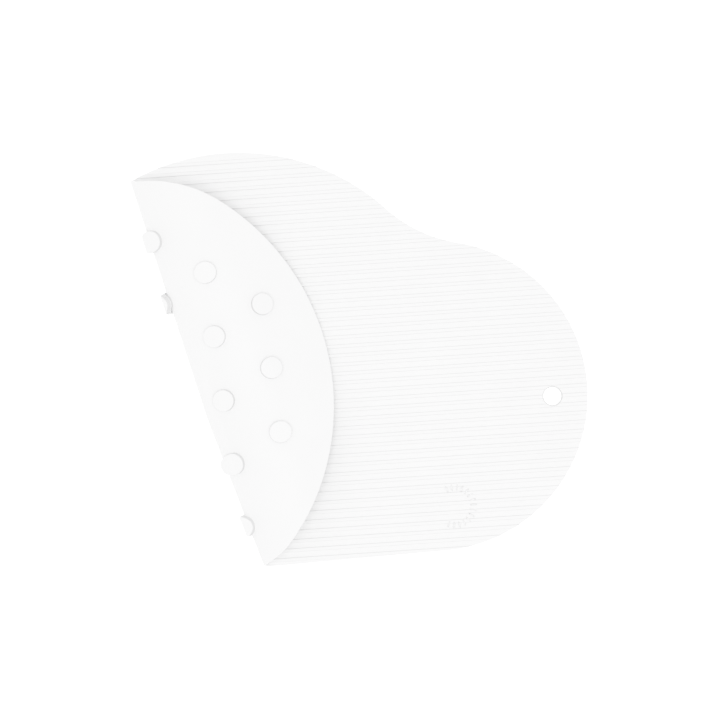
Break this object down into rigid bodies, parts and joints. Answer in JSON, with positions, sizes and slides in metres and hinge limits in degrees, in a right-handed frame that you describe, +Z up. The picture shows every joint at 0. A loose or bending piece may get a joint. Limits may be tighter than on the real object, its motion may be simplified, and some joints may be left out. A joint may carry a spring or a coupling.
{
  "type": "bench scraper",
  "caption": "Flexible kidney-shaped scraper sheet with a ribbed working face, round grip feet on its back and a hang hole, its blade end folded over and able to unroll flat.",
  "frame": {"origin": "middle of the folded part's bounding box in plan, on the surface that the board feet stand on", "axes": "+X along the ribs towards the end with the hang hole, +Y across the ribs, +Z up from the feet to the ribbed face"},
  "size_m": [0.1456, 0.1368, 0.0137],
  "materials": {
    "sheet": "satin white moulded silicone",
    "feet": "satin white moulded silicone"
  },
  "bodies": {
    "board": {"board": "sheet", "board_foot_01": "feet", "board_foot_02": "feet", "board_foot_03": "feet", "board_foot_04": "feet", "board_foot_05": "feet", "board_foot_06": "feet", "board_foot_07": "feet", "board_foot_08": "feet", "board_foot_09": "feet", "board_foot_10": "feet", "board_foot_11": "feet", "board_foot_12": "feet", "board_foot_13": "feet", "board_foot_14": "feet", "board_foot_15": "feet", "board_foot_16": "feet", "board_foot_17": "feet", "board_foot_18": "feet", "board_foot_19": "feet", "board_foot_20": "feet", "board_foot_21": "feet", "board_foot_22": "feet", "board_foot_23": "feet", "board_foot_24": "feet", "board_foot_25": "feet", "board_foot_26": "feet", "board_foot_27": "feet"},
    "curl_1": {"curl_strip_1": "sheet"},
    "curl_2": {"curl_strip_2": "sheet"},
    "curl_3": {"curl_strip_3": "sheet"},
    "curl_4": {"curl_strip_4": "sheet"},
    "curl_5": {"curl_strip_5": "sheet"},
    "curl_6": {"curl_strip_6": "sheet"},
    "curl_7": {"curl_strip_7": "sheet"},
    "curl_8": {"curl_strip_8": "sheet"},
    "curl_9": {"curl_strip_9": "sheet"},
    "curl_10": {"curl_strip_10": "sheet"},
    "curl_11": {"curl_strip_11": "sheet"},
    "flap": {"flap": "sheet", "flap_foot_01": "feet", "flap_foot_02": "feet", "flap_foot_03": "feet"}
  },
  "joints": [
    {"name": "fold_hinge_1", "type": "hinge", "parent": "board", "child": "curl_1", "pos_m": [-0.04015, -0.04646, 0.0016], "axis": [0.2656, -0.9641, 0], "range_deg": [0, 18.62]},
    {"name": "fold_hinge_2", "type": "hinge", "parent": "curl_1", "child": "curl_2", "pos_m": [-0.04119, -0.04674, 0.00196], "axis": [0.2656, -0.9641, 0], "range_deg": [0, 18.62]},
    {"name": "fold_hinge_3", "type": "hinge", "parent": "curl_2", "child": "curl_3", "pos_m": [-0.04206, -0.04698, 0.00265], "axis": [0.2656, -0.9641, 0], "range_deg": [0, 18.62]},
    {"name": "fold_hinge_4", "type": "hinge", "parent": "curl_3", "child": "curl_4", "pos_m": [-0.04268, -0.04715, 0.00359], "axis": [0.2656, -0.9641, 0], "range_deg": [0, 18.62]},
    {"name": "fold_hinge_5", "type": "hinge", "parent": "curl_4", "child": "curl_5", "pos_m": [-0.04297, -0.04723, 0.00469], "axis": [0.2656, -0.9641, 0], "range_deg": [0, 18.62]},
    {"name": "fold_hinge_6", "type": "hinge", "parent": "curl_5", "child": "curl_6", "pos_m": [-0.04291, -0.04722, 0.00583], "axis": [0.2656, -0.9641, 0], "range_deg": [0, 18.62]},
    {"name": "fold_hinge_7", "type": "hinge", "parent": "curl_6", "child": "curl_7", "pos_m": [-0.0425, -0.0471, 0.00688], "axis": [0.2656, -0.9641, 0], "range_deg": [0, 18.62]},
    {"name": "fold_hinge_8", "type": "hinge", "parent": "curl_7", "child": "curl_8", "pos_m": [-0.04179, -0.04691, 0.00775], "axis": [0.2656, -0.9641, 0], "range_deg": [0, 18.62]},
    {"name": "fold_hinge_9", "type": "hinge", "parent": "curl_8", "child": "curl_9", "pos_m": [-0.03894, -0.04612, 0.00953], "axis": [0.2656, -0.9641, 0], "range_deg": [0, 12]},
    {"name": "fold_hinge_10", "type": "hinge", "parent": "curl_9", "child": "curl_10", "pos_m": [-0.03369, -0.04468, 0.0114], "axis": [0.2656, -0.9641, 0], "range_deg": [0, 12]},
    {"name": "fold_hinge_11", "type": "hinge", "parent": "curl_10", "child": "curl_11", "pos_m": [-0.02818, -0.04316, 0.0121], "axis": [0.2656, -0.9641, 0], "range_deg": [0, 12]},
    {"name": "fold_hinge_12", "type": "hinge", "parent": "curl_11", "child": "flap", "pos_m": [-0.02265, -0.04164, 0.0116], "axis": [0.2656, -0.9641, 0], "range_deg": [0, 12]}
  ],
  "couplings": [
    {"joint": "fold_hinge_2", "follows": "fold_hinge_1", "ratio": 1},
    {"joint": "fold_hinge_3", "follows": "fold_hinge_1", "ratio": 1},
    {"joint": "fold_hinge_4", "follows": "fold_hinge_1", "ratio": 1},
    {"joint": "fold_hinge_5", "follows": "fold_hinge_1", "ratio": 1},
    {"joint": "fold_hinge_6", "follows": "fold_hinge_1", "ratio": 1},
    {"joint": "fold_hinge_7", "follows": "fold_hinge_1", "ratio": 1},
    {"joint": "fold_hinge_8", "follows": "fold_hinge_1", "ratio": 1},
    {"joint": "fold_hinge_9", "follows": "fold_hinge_1", "ratio": 0.64429},
    {"joint": "fold_hinge_10", "follows": "fold_hinge_1", "ratio": 0.64429},
    {"joint": "fold_hinge_11", "follows": "fold_hinge_1", "ratio": 0.64429},
    {"joint": "fold_hinge_12", "follows": "fold_hinge_1", "ratio": 0.64429}
  ]
}
